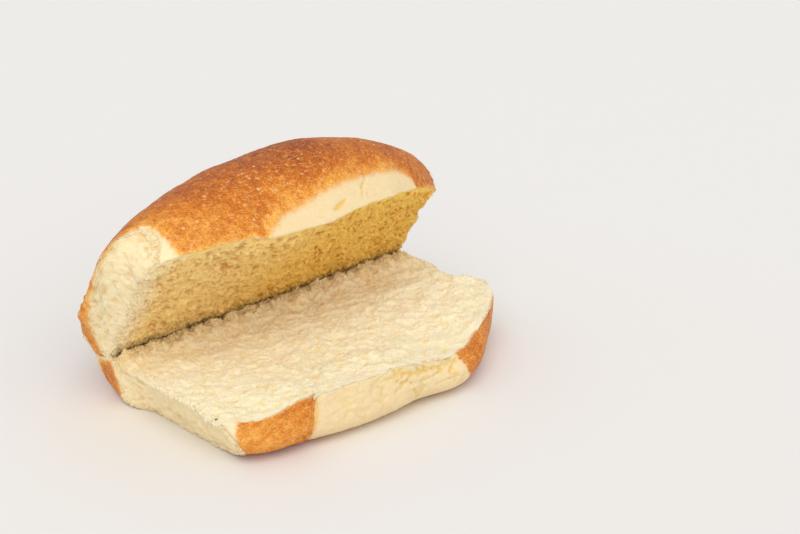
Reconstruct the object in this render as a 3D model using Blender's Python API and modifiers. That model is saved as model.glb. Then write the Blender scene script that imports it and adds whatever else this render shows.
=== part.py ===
"""A soft sandwich roll, split along one side and opened. Base, lid and their crust are one piece."""

from math import atan2, cos, pi, radians, sin

import bmesh
import bpy
from mathutils import Vector, noise

MM = 0.001

# Outline of the closed roll at the height of the cut, from above. X runs along the roll, -Y is the mouth.
HALF_LEFT = 83.0 * MM  # from the middle to where the left end would round off
HALF_RIGHT = 91.0 * MM
HALF_FRONT = 58.5 * MM
HALF_BACK = 41.0 * MM
MIDDLE_Y = -1.5 * MM
SQUARE_FRONT_LEFT = 3.6  # 2 is an ellipse, more is squarer
SQUARE_FRONT_RIGHT = 1.8
SQUARE_BACK = 6.0
END_LEFT = -72.5 * MM  # the two ends are torn off flat, where the roll stuck to the next ones in the tin
END_LEFT_TAPER = 3.0 * MM  # the left end runs in towards the back
END_LEFT_TAPER_Y = (15.0 * MM, 38.0 * MM)
END_LEFT_LEAN = 7.5 * MM  # above the cut, it leans out by this much, but not at the back
END_LEFT_LEAN_Y = (5.0 * MM, 32.0 * MM)
END_LEFT_RISE = 14.0 * MM  # over this height
END_LEFT_UNDERCUT = 11.0 * MM  # below the cut, it runs in by this much at the ground
END_LEFT_SCRAP = 0.5  # but less by this share at the back, where a scrap of crust is left
END_LEFT_SCRAP_Y = (8.0 * MM, 22.0 * MM)
END_RIGHT = 87.5 * MM
END_RIGHT_SLANT = 0.12  # the right end runs back and inwards
SCOOP_DEPTH = 4.0 * MM  # crumb torn out of the middle of the right end
SCOOP_Y = 4.0 * MM
SCOOP_REACH = 16.0 * MM
SPARE = 5.0 * MM  # above the cut the right end is left this much too long, for the trim to cut off
SPARE_OVER = (0.0, 4.0 * MM)  # from the cut upwards
SPARE_FRONT = (4.0 * MM, 16.0 * MM)  # and in front of the hinge

# Side view of the closed roll.
CUT_HEIGHT = 20.5 * MM
DOME_HEIGHT = 43.5 * MM
DOME_LEAN = 0.057  # the dome is a little higher to the right of the middle
DOME_FALL = -0.40  # and lower at both ends
DOME_SQUARE = 3.0
DOME_BULGE = 0.07  # the wall swells out above the cut
BASE_SQUARE = 5.0
FOOT_SINK = 1.3 * MM  # how much of the round underside is pressed flat

# The cut and the way the lid opens.
HINGE_Y = 29.7 * MM
HINGE_YAW = radians(5.0)
BACK_STAYS = radians(245)  # the back of the base stays put from this angle round the hinge
HINGE_REACH = 0.02 * MM  # nearer than this, a point is on the hinge itself
OPEN_MIDDLE = radians(43.8)  # the lid sags in the middle and stands more open at its ends
OPEN_ENDS = radians(6.0)
OPEN_SKEW = radians(-1.7)
BLADE_GAP = 0.5 * MM
BLADE_LENGTH = 190.0 * MM
BLADE_DEPTH = 104.0 * MM
BLADE_CELL = 3.7 * MM
TRIM_HEIGHT = 60.0 * MM  # what is missing from the lid's ends is missing all the way up
TRIM_LENGTH = 30.0 * MM
TRIM_SINK = 0.6 * MM  # so that no film is left between the trims and the cut
TRIM_RIGHT = 80.2 * MM  # the lid's right end is torn back to here at the neck, and less on both sides of it
TRIM_NECK_Y = -16.0 * MM
TRIM_RIGHT_BACK = 0.07
TRIM_RIGHT_FRONT = 0.2
TRIM_LEFT = -83.0 * MM  # the lid's front left corner is rounded off
TRIM_LEFT_ROUND = 20.5 * MM
TRIM_LEFT_FROM_Y = -10.0 * MM
TRIM_LEFT_DEPTH = 46.0 * MM
LID_DEPTH = 0.87  # the opened lid curls in, so its cut face is shallower than the base's
LID_DEPTH_ENDS = 0.035
LID_FLARE_LEFT = 0.065
LID_TAPER_RIGHT = 0.15
CURL_REACH = 20.0 * MM  # the curl grows over this distance from the hinge
HALF_SPAN = 80.0 * MM
RIM_START = 45.0 * MM  # the front rims rise and sag from this far in front of the hinge
RIM_FULL = 80.0 * MM
BASE_RISE = 2.2 * MM  # left of the middle, the base's rim stands up between these places along the hinge
BASE_RISE_FROM = (-64.0 * MM, -50.0 * MM)
BASE_RISE_TO = (-8.0 * MM, 6.0 * MM)
BASE_SAG = 3.3 * MM  # right of it, the rim sags
BASE_SAG_FROM = (2.0 * MM, 24.0 * MM)
BASE_SAG_TO = (34.0 * MM, 54.0 * MM)
BASE_CORNER = 2.2 * MM  # and the left corner hangs
BASE_CORNER_FROM = (-66.0 * MM, -52.0 * MM)
LID_SAG = 1.9 * MM  # the lid's rim hangs a little lower left of the middle
LID_SAG_FROM = (-44.0 * MM, -34.0 * MM)
LID_SAG_TO = (-10.0 * MM, 8.0 * MM)
LID_FADE = 25.0 * MM  # its sag fades out over this height

# Relief.
CRUMB_WAVE = 9.0 * MM
CRUMB_RELIEF = 1.3 * MM
CRUMB_FROM = 12.0 * MM  # the cut is level at the hinge and fully rough from here
TORN_WAVE = 7.0 * MM
TORN_RELIEF = 1.6 * MM
CRUST_WAVE = 26.0 * MM
CRUST_RELIEF = 0.9 * MM
CRUST_FROM = 1.0 * MM  # lower than this, the underside is flat
SEAM_X = -38.0 * MM  # upright crease in the front wall, where two folds of crust meet
SEAM_WIDTH = 4.0 * MM
SEAM_DEPTH = 1.6 * MM
CREASE_FOOT = 3.0 * MM  # the folds fade out over this height at the ground
CREASE_TOP = 4.0 * MM  # and over this one above the cut
CREASE_FRONT = (10.0 * MM, 25.0 * MM)  # and towards the back
FOLD_HEIGHT = 6.5 * MM  # thin fold low on the front wall, left of the seam
FOLD_WIDTH = 1.6 * MM
FOLD_DEPTH = 0.9 * MM
BULGE_DEPTH = 4.0 * MM  # under the rim, the front wall's right part swells out
BULGE_SLANT = radians(30)  # and a little to the right
BULGE_FROM_X = (12.0 * MM, 36.0 * MM)
BULGE_TO_X = (46.0 * MM, 68.0 * MM)
BULGE_FRONT = 20.0 * MM
BULGE_TOP = (0.0, 0.4)  # shares of the base's height, from the cut down
BULGE_FOOT = (0.7, 1.0)
BULGE_FOOT_LOSS = 0.4

FORM_CUTS = 23
CENTRE = Vector((-1.61 * MM, 0.70 * MM, 0.0))  # moves the middle of the opened roll onto the origin


def clear_scene():
    for found in list(bpy.data.objects):
        bpy.data.objects.remove(found, do_unlink=True)


def new_collection(name, hidden=False):
    made = bpy.data.collections.new(name)
    made.hide_render = hidden
    bpy.context.scene.collection.children.link(made)
    return made


def new_material(name, colour, roughness):
    made = bpy.data.materials.new(name)
    made.use_nodes = True
    shader = made.node_tree.nodes["Principled BSDF"]
    shader.inputs["Base Color"].default_value = (*colour, 1.0)
    shader.inputs["Roughness"].default_value = roughness
    shader.inputs["Metallic"].default_value = 0.0
    made.diffuse_color = (*colour, 1.0)
    return made


def new_object(name, bm, collection, material):
    mesh = bpy.data.meshes.new(name)
    bm.to_mesh(mesh)
    bm.free()
    mesh.materials.append(material)
    made = bpy.data.objects.new(name, mesh)
    collection.objects.link(made)
    return made


def blend(low, high, value):
    """0 below low, 1 above high, smooth between."""
    share = min(1.0, max(0.0, (value - low) / (high - low)))
    return share * share * (3 - 2 * share)


def bell(value, centre, width):
    return max(0.0, 1.0 - abs((value - centre) / width)) ** 2


def squared(a, b, power):
    """The point of a unit superellipse in the direction (a, b)."""
    size = (abs(a) ** power + abs(b) ** power) ** (1 / power)
    return a / size, b / size


def roll_point(direction):
    """The closed roll's surface in a direction from the middle of its cut, as a point on the unit sphere."""
    level = max(1e-9, (direction.x**2 + direction.y**2) ** 0.5)
    if direction.y >= 0:
        power = SQUARE_BACK
    else:
        power = SQUARE_FRONT_LEFT if direction.x < 0 else SQUARE_FRONT_RIGHT
    along, across = squared(direction.x / level, direction.y / level, power)
    along *= HALF_LEFT if along < 0 else HALF_RIGHT
    across *= HALF_FRONT + MIDDLE_Y if across < 0 else HALF_BACK - MIDDLE_Y
    out, up = squared(level, direction.z, DOME_SQUARE if direction.z > 0 else BASE_SQUARE)
    if up > 0:
        out *= 1 + DOME_BULGE * 2 * level * direction.z
    x, y = out * along, out * across + MIDDLE_Y
    if up > 0:
        share = x / HALF_SPAN
        z = CUT_HEIGHT + up * DOME_HEIGHT * (1 + DOME_LEAN * share + DOME_FALL * share**2)
    else:
        z = max(0.0, CUT_HEIGHT + up * (CUT_HEIGHT + FOOT_SINK))
    return Vector((x, y, z))


def torn(point):
    """The relief of torn crumb there."""
    return TORN_RELIEF * noise.fractal(point / TORN_WAVE, 0.8, 2.0, 3)


def tear_ends(point):
    """Presses both ends flat and roughens them like torn crumb."""
    rough = torn(point)
    over = point.z - CUT_HEIGHT
    below = max(0.0, -over) / CUT_HEIGHT
    undercut = END_LEFT_UNDERCUT * below * (1 - END_LEFT_SCRAP * blend(*END_LEFT_SCRAP_Y, point.y))
    lean = END_LEFT_LEAN * blend(0.0, END_LEFT_RISE, over) * (1 - blend(*END_LEFT_LEAN_Y, point.y))
    left = END_LEFT + END_LEFT_TAPER * blend(*END_LEFT_TAPER_Y, point.y) - lean + undercut
    scoop = SCOOP_DEPTH * (1 - blend(0.0, SCOOP_REACH, abs(point.y - SCOOP_Y)))
    spare = SPARE * blend(*SPARE_OVER, over) * blend(*SPARE_FRONT, hinge_frame(point)[1])
    right = END_RIGHT - END_RIGHT_SLANT * point.y - scoop + spare
    return Vector((min(max(point.x, left + rough), right + rough), point.y, point.z))


def bulge_front(point):
    """The swelling under the rim, right of the middle."""
    below = max(0.0, CUT_HEIGHT - point.z) / CUT_HEIGHT
    along = blend(*BULGE_FROM_X, point.x) * (1 - blend(*BULGE_TO_X, point.x))
    height = blend(*BULGE_TOP, below) * (1 - BULGE_FOOT_LOSS * blend(*BULGE_FOOT, below))
    depth = BULGE_DEPTH * along * height * blend(0.0, BULGE_FRONT, -point.y)
    return Vector((depth * sin(BULGE_SLANT), -depth * cos(BULGE_SLANT), 0))


def crease_front(point):
    """The folds of crust low on the front wall."""
    low = blend(0.0, CREASE_FOOT, point.z) * (1 - blend(CUT_HEIGHT, CUT_HEIGHT + CREASE_TOP, point.z))
    front = blend(*CREASE_FRONT, -point.y) * low
    seam = SEAM_DEPTH * bell(point.x, SEAM_X, SEAM_WIDTH)
    left_of_seam = 1 - blend(SEAM_X - SEAM_WIDTH, SEAM_X, point.x)
    fold = FOLD_DEPTH * bell(point.z, FOLD_HEIGHT, FOLD_WIDTH) * left_of_seam
    return Vector((0, front * (seam + fold), 0))


def make_form(collection, crust):
    """The closed roll: a cube blown up to the roll's form."""
    bm = bmesh.new()
    bmesh.ops.create_cube(bm, size=2.0)
    bmesh.ops.subdivide_edges(bm, edges=bm.edges, cuts=FORM_CUTS, use_grid_fill=True)
    for vert in bm.verts:
        direction = vert.co.normalized()
        point = roll_point(direction)
        if point.z > CRUST_FROM:
            wave = noise.fractal(point / CRUST_WAVE, 1.0, 2.0, 2)
            point += direction * CRUST_RELIEF * wave
        point = tear_ends(point) + crease_front(point) + bulge_front(point)
        point.z = max(0.0, point.z)
        vert.co = point
    return new_object("roll", bm, collection, crust)


def hinge_frame(point):
    """A point's place along the hinge, in front of it and above it."""
    from_hinge = point - Vector((0, HINGE_Y, CUT_HEIGHT))
    along = Vector((cos(HINGE_YAW), sin(HINGE_YAW), 0))
    front = Vector((sin(HINGE_YAW), -cos(HINGE_YAW), 0))
    return from_hinge.dot(along), from_hinge.dot(front), from_hinge.z


def hinge_point(along, front, up):
    return Vector(
        (
            along * cos(HINGE_YAW) + front * sin(HINGE_YAW),
            HINGE_Y + along * sin(HINGE_YAW) - front * cos(HINGE_YAW),
            CUT_HEIGHT + up,
        )
    )


def cut_level(point):
    """How far the torn cut rises above its mean plane there. It is level at the hinge."""
    wave = noise.fractal(Vector((point.x, point.y, 0)) / CRUMB_WAVE, 0.9, 2.0, 3)
    return CRUMB_RELIEF * wave * blend(0.0, CRUMB_FROM, hinge_frame(point)[1])


def make_cutter(name, collection, crumb, place, length, thickness, offset):
    """A wavy sheet on the cut. place takes a share of its length and how far in front of the hinge it is."""
    bm = bmesh.new()
    columns, rows = round(length / BLADE_CELL), round(BLADE_DEPTH / BLADE_CELL)
    bmesh.ops.create_grid(bm, x_segments=columns, y_segments=rows, size=0.5)
    for vert in bm.verts:
        point = place(vert.co.x + 0.5, (0.5 - vert.co.y) * BLADE_DEPTH)
        point.z += cut_level(point)
        vert.co = point
    cutter = new_object(name, bm, collection, crumb)
    cutter.display_type = "WIRE"
    cutter.hide_render = True
    shell = cutter.modifiers.new("thickness", "SOLIDIFY")
    shell.thickness = thickness
    shell.offset = offset
    return cutter


def blade_place(share, front):
    """The blade is as deep as the cut, with its back edge on the hinge."""
    return hinge_point((share - 0.5) * BLADE_LENGTH, front, 0.0)


def right_trim_place(share, front):
    point = hinge_point(TRIM_RIGHT, front, -TRIM_SINK)
    past_neck = point.y - TRIM_NECK_Y
    slope = TRIM_RIGHT_BACK if past_neck > 0 else -TRIM_RIGHT_FRONT
    point.x = TRIM_RIGHT + slope * past_neck + torn(point) + share * TRIM_LENGTH
    return point


def left_trim_place(share, front):
    point = hinge_point(TRIM_LEFT, front, -TRIM_SINK)
    before = min(0.0, point.y - TRIM_LEFT_FROM_Y) / TRIM_LEFT_DEPTH
    point.x = TRIM_LEFT + TRIM_LEFT_ROUND * before**2 + torn(point) - (1 - share) * TRIM_LENGTH
    return point


def lid_points(bm):
    """The vertices in front of the hinge that belong to the lid: those joined to its top."""
    front = {vert for vert in bm.verts if hinge_frame(vert.co)[1] > HINGE_REACH}
    fresh = [max(front, key=lambda vert: vert.co.z)]
    found = set(fresh)
    while fresh:
        vert = fresh.pop()
        near = {edge.other_vert(vert) for edge in vert.link_edges} & front - found
        found |= near
        fresh.extend(near)
    return found


def rim_lift(along, front, up, on_lid):
    """How far the torn rim has sprung up or sagged. It fades out towards the dome's top and the ground."""
    if on_lid:
        lift = -LID_SAG * blend(*LID_SAG_FROM, along) * (1 - blend(*LID_SAG_TO, along))
        fade = 1 - blend(0.0, LID_FADE, up)
    else:
        rise = BASE_RISE * blend(*BASE_RISE_FROM, along) * (1 - blend(*BASE_RISE_TO, along))
        sag = BASE_SAG * blend(*BASE_SAG_FROM, along) * (1 - blend(*BASE_SAG_TO, along))
        lift = rise - sag - BASE_CORNER * (1 - blend(*BASE_CORNER_FROM, along))
        fade = max(0.0, 1 + min(0.0, up) / CUT_HEIGHT)
    return lift * fade * blend(RIM_START, RIM_FULL, front)


def opened(point, on_lid):
    """Where a point of the closed roll goes when the lid opens: the base stays and the lid turns."""
    along, front, up = hinge_frame(point)
    up += rim_lift(along, front, up, on_lid)
    share = along / HALF_SPAN
    widest = OPEN_MIDDLE + OPEN_ENDS * share**2 + OPEN_SKEW * share**3
    if front > HINGE_REACH:
        turn = widest if on_lid else 0.0
    else:
        around = atan2(up, front)
        behind = around if around > 0 else around + 2 * pi  # a quarter turn above the hinge to three quarters
        turn = widest * (1 - blend(pi / 2, BACK_STAYS, behind))
    if on_lid:
        depth = LID_DEPTH + LID_DEPTH_ENDS * share**2
        along -= front * LID_FLARE_LEFT * min(1.0, max(0.0, -share))
        along -= front * LID_TAPER_RIGHT * min(1.0, max(0.0, share))
        front *= 1 + (depth - 1) * min(1.0, front / CURL_REACH)
    reach = (front**2 + up**2) ** 0.5
    angle = atan2(up, front) + turn
    return hinge_point(along, reach * cos(angle), reach * sin(angle)) + CENTRE


def split(form, cutters):
    """Cuts the mouth and the lid's ends, and keeps the result as the object's own mesh."""
    cut = form.modifiers.new("mouth", "BOOLEAN")
    cut.operation = "DIFFERENCE"
    cut.solver = "EXACT"
    cut.material_mode = "TRANSFER"
    cut.operand_type = "COLLECTION"
    cut.collection = cutters
    bpy.context.view_layer.update()
    graph = bpy.context.evaluated_depsgraph_get()
    mesh = bpy.data.meshes.new_from_object(form.evaluated_get(graph))
    form.modifiers.clear()
    form.data = mesh


def open_lid(roll):
    bm = bmesh.new()
    bm.from_mesh(roll.data)
    lid = lid_points(bm)
    for vert in bm.verts:
        vert.co = opened(vert.co, vert in lid)
    bm.to_mesh(roll.data)
    bm.free()


def main():
    clear_scene()
    roll_parts = new_collection("soft_roll")
    cutters = new_collection("cutters", hidden=True)
    crust = new_material("crust", (0.56, 0.25, 0.07), 0.5)
    crumb = new_material("crumb", (0.86, 0.76, 0.52), 0.85)
    roll = make_form(roll_parts, crust)
    make_cutter("blade", cutters, crumb, blade_place, BLADE_LENGTH, BLADE_GAP, 0.0)
    make_cutter("right_trim", cutters, crumb, right_trim_place, TRIM_LENGTH, TRIM_HEIGHT, 1.0)
    make_cutter("left_trim", cutters, crumb, left_trim_place, TRIM_LENGTH, TRIM_HEIGHT, 1.0)
    split(roll, cutters)
    open_lid(roll)
    roll.data.shade_smooth()
    roll.data.set_sharp_from_angle(angle=radians(40))


main()
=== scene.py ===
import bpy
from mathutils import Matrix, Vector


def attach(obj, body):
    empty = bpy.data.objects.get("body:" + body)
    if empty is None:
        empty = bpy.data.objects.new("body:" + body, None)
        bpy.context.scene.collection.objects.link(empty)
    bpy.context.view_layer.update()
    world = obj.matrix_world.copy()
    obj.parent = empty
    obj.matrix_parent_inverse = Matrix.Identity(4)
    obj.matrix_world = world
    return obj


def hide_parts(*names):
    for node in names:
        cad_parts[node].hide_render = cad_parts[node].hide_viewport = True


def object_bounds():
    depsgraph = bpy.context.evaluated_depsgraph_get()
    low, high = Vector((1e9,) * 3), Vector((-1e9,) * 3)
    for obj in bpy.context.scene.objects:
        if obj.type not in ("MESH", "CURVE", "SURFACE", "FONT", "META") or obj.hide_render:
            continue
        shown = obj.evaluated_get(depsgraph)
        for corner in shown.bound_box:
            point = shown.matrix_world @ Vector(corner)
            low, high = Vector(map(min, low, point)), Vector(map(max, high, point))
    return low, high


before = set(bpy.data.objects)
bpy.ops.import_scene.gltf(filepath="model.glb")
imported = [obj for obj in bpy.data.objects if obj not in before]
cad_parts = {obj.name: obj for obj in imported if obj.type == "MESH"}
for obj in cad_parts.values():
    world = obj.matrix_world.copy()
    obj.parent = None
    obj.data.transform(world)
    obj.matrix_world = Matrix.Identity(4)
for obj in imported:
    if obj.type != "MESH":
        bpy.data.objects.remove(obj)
cadBox = [list(corner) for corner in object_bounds()]

from math import asin, atan2, cos, hypot, pi, radians, sin, tan

import bmesh
import bpy
import numpy as np
from mathutils import Vector, geometry, noise

mm = 0.001

# The roll's form, in millimetres and degrees: the same named sizes as its solid has.
rollForm = {
    "halfLeft": 83.0, "halfRight": 91.0, "halfFront": 58.5, "halfBack": 41.0, "middleY": -1.5,
    "squareFrontLeft": 3.6, "squareFrontRight": 1.8, "squareBack": 6.0,
    "endLeft": -72.5, "leftTaper": 3.0, "leftLean": 7.5, "leftRise": 14.0,
    "leftUndercut": 11.0, "leftScrap": 0.5,
    "endRight": 87.5, "rightSlant": 0.12, "scoopDepth": 4.0, "scoopY": 4.0, "scoopReach": 16.0,
    "trimRight": 80.2, "trimNeckY": -16.0, "trimRightBack": 0.07, "trimRightFront": 0.2,
    "trimLeft": -83.0, "trimLeftRound": 20.5, "trimLeftFromY": -10.0, "trimLeftDepth": 46.0,
    "trimSoft": 5.0,
    "cutHeight": 20.5, "domeHeight": 43.5, "domeLean": 0.057, "domeFall": -0.40,
    "domeSquare": 3.0, "domeBulge": 0.07, "baseSquare": 5.0, "footSink": 1.3,
    "crustWave": 26.0, "crustRelief": 0.9,
    "seamX": -38.0, "seamWidth": 4.0, "seamDepth": 1.6,
    "foldHeight": 6.5, "foldWidth": 1.6, "foldDepth": 0.9,
    "bulgeDepth": 4.0, "bulgeSlant": 30.0, "bulgeStart": (12, 36), "bulgeStop": (46, 68),
}

# How the cut lies and how the lid stands open.
rollOpening = {
    "hingeY": 29.7, "yaw": 5.0, "middleAngle": 43.8, "endsAngle": 6.0, "skewAngle": -1.7,
    "backStays": 245.0, "lidDepth": 0.87, "lidDepthEnds": 0.035, "flareLeft": 0.065, "taperRight": 0.15,
    "curlReach": 20.0, "halfSpan": 80.0, "crumbWave": 9.0, "crumbRelief": 1.3, "gap": 0.5,
    "rimStart": 45.0, "rimFull": 80.0,
    "lidSag": 1.9, "lidFade": 25.0, "lidSagStart": (-44, -34), "lidSagStop": (-10, 8),
    "baseRise": 2.2, "baseRiseStart": (-64, -50), "baseRiseStop": (-8, 6),
    "baseSag": 3.3, "baseSagStart": (2, 24), "baseSagStop": (34, 54),
    "baseCorner": 2.2, "baseCornerStart": (52, 66),
    "centre": (-1.61, 0.70, 0.0),
}


def smooth(low, high, value):
    share = np.clip((value - low) / (high - low), 0.0, 1.0)
    return share * share * (3 - 2 * share)


def bell(value, centre, width):
    return np.maximum(0.0, 1.0 - np.abs((value - centre) / width)) ** 2


def fractal(points, wave, hurst, octaves, seed=0.0):
    flat = np.asarray(points, float).reshape(-1, 3) / wave + seed
    values = [noise.fractal(Vector(p), hurst, 2.0, octaves) for p in flat]
    return np.array(values).reshape(np.shape(points)[:-1])


def scatterNumbers(cells, seed):  # one repeatable random number from 0 to 1 for each whole-number cell
    mixed = cells[..., 0] * 73856093 ^ cells[..., 1] * 19349663
    mixed = mixed ^ cells[..., 2] * 83492791 ^ (seed * 2654435761)
    mixed = (mixed ^ (mixed >> 13)) * 1274126177 & 0xFFFFFFFF
    mixed = (mixed ^ (mixed >> 16)) * 2246822519 & 0xFFFFFFFF
    return ((mixed ^ (mixed >> 15)) & 0xFFFFFF) / 0x1000000


def pores(points, cell, size, chance, seed):  # soft hollows where gas bubbles were torn open
    cells = np.floor(points / cell).astype(np.int64)
    depth = np.zeros(points.shape[:-1])
    for step in np.ndindex(3, 3, 3):
        near = cells + np.array(step) - 1
        rolls = [scatterNumbers(near, seed + k) for k in range(5)]
        centres = (near + np.stack(rolls[:3], -1)) * cell
        radii = cell * size * (0.45 + 0.55 * rolls[3] ** 2)
        share = 1 - ((points - centres) ** 2).sum(-1) / radii**2
        depth = np.maximum(depth, np.where(rolls[4] < chance, radii * np.maximum(share, 0) ** 1.3, 0))
    return depth


def foam(points, strength, seed):  # depth of the crumb's pores, small ones in larger ones
    big = pores(points, 6.0, 0.5, 0.35, seed)
    middle = pores(points, 2.9, 0.75, 0.9, seed + 10)
    small = pores(points, 1.4, 0.85, 1.0, seed + 20)
    return strength * (0.4 * big + 0.5 * middle + 0.7 * small)


def softMax(first, second, reach):  # the larger of the two, with the step between them rounded
    return np.maximum(first, second) + np.maximum(0, reach - np.abs(first - second)) ** 2 / (4 * reach)


def roundedDrop(distance, radius):  # how far a rounded edge has dropped this near to it
    inner = np.clip(radius - distance, 0, radius)
    return radius - np.sqrt(radius**2 - inner**2)


# Where the roll's skin is before the lid opens, as how far out and how far up it is at an angle.
def levelOut(angle, dome):
    power = rollForm["domeSquare"] if dome else rollForm["baseSquare"]
    level, rise = np.cos(angle), np.sin(angle)
    size = (level**power + rise**power) ** (1 / power)
    out = level / size
    if dome:
        out = out * (1 + rollForm["domeBulge"] * 2 * level * rise)
    return out, rise / size


def topAngle(reach, dome):  # the highest angle at which the skin is still that far out
    angles = np.linspace(0, pi / 2, 4001)
    out, _ = levelOut(angles, dome)
    widest = int(np.argmax(out))
    return np.interp(reach, out[widest:][::-1], angles[widest:][::-1])


def skinPoint(x, back, share, dome):  # share runs from 0 at the cut's height to 1 at the top or bottom line
    half = np.where(x < 0, rollForm["halfLeft"], rollForm["halfRight"])
    front = np.where(x < 0, rollForm["squareFrontLeft"], rollForm["squareFrontRight"])
    power = np.where(back, rollForm["squareBack"], front)
    backSide = rollForm["halfBack"] - rollForm["middleY"]
    frontSide = rollForm["halfFront"] + rollForm["middleY"]
    side = np.where(back, backSide, -frontSide)
    reach = np.abs(x) / half
    out, up = levelOut(share * topAngle(reach, dome), dome)
    across = np.maximum(0.0, 1 - (reach / np.maximum(out, 1e-9)) ** power) ** (1 / power)
    y = out * across * side + rollForm["middleY"]
    if dome:
        along = x / rollOpening["halfSpan"]
        z = rollForm["cutHeight"] + up * rollForm["domeHeight"] * (
            1 + rollForm["domeLean"] * along + rollForm["domeFall"] * along**2)
    else:
        z = np.maximum(0.0, rollForm["cutHeight"] - up * (rollForm["cutHeight"] + rollForm["footSink"]))
    return y, z


def hingeFrame(p):
    yaw = radians(rollOpening["yaw"])
    x, y = p[..., 0], p[..., 1] - rollOpening["hingeY"]
    return x * cos(yaw) + y * sin(yaw), x * sin(yaw) - y * cos(yaw), p[..., 2] - rollForm["cutHeight"]


def endLimits(p, dome):  # where the torn ends cut the skin off, the lid's being torn back further
    form, y = rollForm, p[..., 1]
    over = p[..., 2] - form["cutHeight"]
    below = np.clip(-over / form["cutHeight"], 0, 1)
    undercut = form["leftUndercut"] * below * (1 - form["leftScrap"] * smooth(8, 22, y))
    lean = form["leftLean"] * smooth(0, form["leftRise"], over) * (1 - smooth(5, 32, y))
    left = form["endLeft"] + form["leftTaper"] * smooth(15, 38, y) - lean + undercut
    scoop = form["scoopDepth"] * (1 - smooth(0, form["scoopReach"], np.abs(y - form["scoopY"])))
    right = form["endRight"] - form["rightSlant"] * y - scoop
    before = np.minimum(0, y - form["trimLeftFromY"]) / form["trimLeftDepth"]
    pastNeck = y - form["trimNeckY"]
    slope = np.where(pastNeck > 0, form["trimRightBack"], -form["trimRightFront"])
    ahead = dome & (hingeFrame(p)[1] > 0)
    leftTrim = form["trimLeft"] + form["trimLeftRound"] * before**2
    left = np.where(ahead, softMax(left, leftTrim, form["trimSoft"]), left)
    right = np.where(ahead, np.minimum(right, form["trimRight"] + slope * pastNeck), right)
    return left, right


def cutLevel(p):  # how far the cut rises above its mean plane
    wave = fractal(p * np.array([1.0, 1.0, 0.0]), rollOpening["crumbWave"], 0.9, 3)
    return rollOpening["crumbRelief"] * wave * smooth(0, 12, hingeFrame(p)[1])


def rimmedLevel(p, fromRim):  # the same, with only a share of it left at the rim
    share = crustMake["rimShare"]
    return cutLevel(p) * (share + (1 - share) * smooth(0, 12, fromRim))


def rimLift(along, front, up, onLid):  # how far the front rims have sprung up or sagged
    rim = rollOpening
    lidLift = -rim["lidSag"] * smooth(*rim["lidSagStart"], along) * (1 - smooth(*rim["lidSagStop"], along))
    lidFade = 1 - smooth(0, rim["lidFade"], up)
    rise = rim["baseRise"] * smooth(*rim["baseRiseStart"], along)
    rise = rise * (1 - smooth(*rim["baseRiseStop"], along))
    sag = rim["baseSag"] * smooth(*rim["baseSagStart"], along) * (1 - smooth(*rim["baseSagStop"], along))
    baseLift = rise - sag - rim["baseCorner"] * smooth(*rim["baseCornerStart"], -along)
    baseFade = np.clip(1 + np.minimum(0, up) / rollForm["cutHeight"], 0, 1)
    lift = np.where(onLid, lidLift * lidFade, baseLift * baseFade)
    return lift * smooth(rim["rimStart"], rim["rimFull"], front)


def opened(p, onLid):  # moves points of the closed roll to where they are with the lid open
    opening = rollOpening
    along, front, up = hingeFrame(p)
    up = up + rimLift(along, front, up, onLid)
    share = along / opening["halfSpan"]
    widest = np.radians(
        opening["middleAngle"] + opening["endsAngle"] * share**2 + opening["skewAngle"] * share**3)
    ahead = front > 0.02
    around = np.arctan2(up, front)
    behind = np.where(around > 0, around, around + 2 * pi)
    bend = widest * (1 - smooth(pi / 2, radians(opening["backStays"]), behind))  # behind the hinge
    turn = np.where(ahead, np.where(onLid, widest, 0.0), bend)
    lidAhead = onLid & ahead
    depth = opening["lidDepth"] + opening["lidDepthEnds"] * share**2
    slide = opening["flareLeft"] * np.clip(-share, 0, 1) + opening["taperRight"] * np.clip(share, 0, 1)
    along = along - np.where(lidAhead, front * slide, 0.0)
    curl = 1 + (depth - 1) * np.clip(front / opening["curlReach"], 0, 1)
    front = front * np.where(lidAhead, curl, 1.0)
    reach, angle = np.hypot(front, up), np.arctan2(up, front) + turn
    front, up = reach * np.cos(angle), reach * np.sin(angle)
    yaw = radians(opening["yaw"])
    moved = np.stack([
        along * cos(yaw) + front * sin(yaw),
        opening["hingeY"] + along * sin(yaw) - front * cos(yaw),
        rollForm["cutHeight"] + up], -1)
    return moved + np.array(opening["centre"])


def gridNormals(points):
    across = np.gradient(points, axis=0)
    down = np.gradient(points, axis=1)
    normal = np.cross(across, down)
    return normal / np.maximum(np.linalg.norm(normal, axis=-1, keepdims=True), 1e-9)


def finishMesh(name, points, faces, material, attributes):  # attributes: a value or a place for each point
    mesh = bpy.data.meshes.new(name)
    mesh.from_pydata(np.clip(points, *cadBox).tolist(), [], faces)  # nothing stands out of the frame's box
    for key, values in attributes.items():
        kind, field = ("FLOAT_VECTOR", "vector") if values.ndim == 2 else ("FLOAT", "value")
        layer = mesh.attributes.new(key, kind, "POINT")
        layer.data.foreach_set(field, values.astype(np.float32).ravel())
    mesh.materials.append(material)
    mesh.shade_smooth()
    mesh.validate()
    made = bpy.data.objects.new(name, mesh)
    bpy.context.scene.collection.objects.link(made)
    return made


def gridQuads(rows, columns, start=0, flip=False):
    index = np.arange(rows * columns).reshape(rows, columns) + start
    quads = np.stack([index[:-1, :-1], index[1:, :-1], index[1:, 1:], index[:-1, 1:]], -1)
    quads = quads.reshape(-1, 4)
    return (quads[:, ::-1] if flip else quads).tolist()


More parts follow.
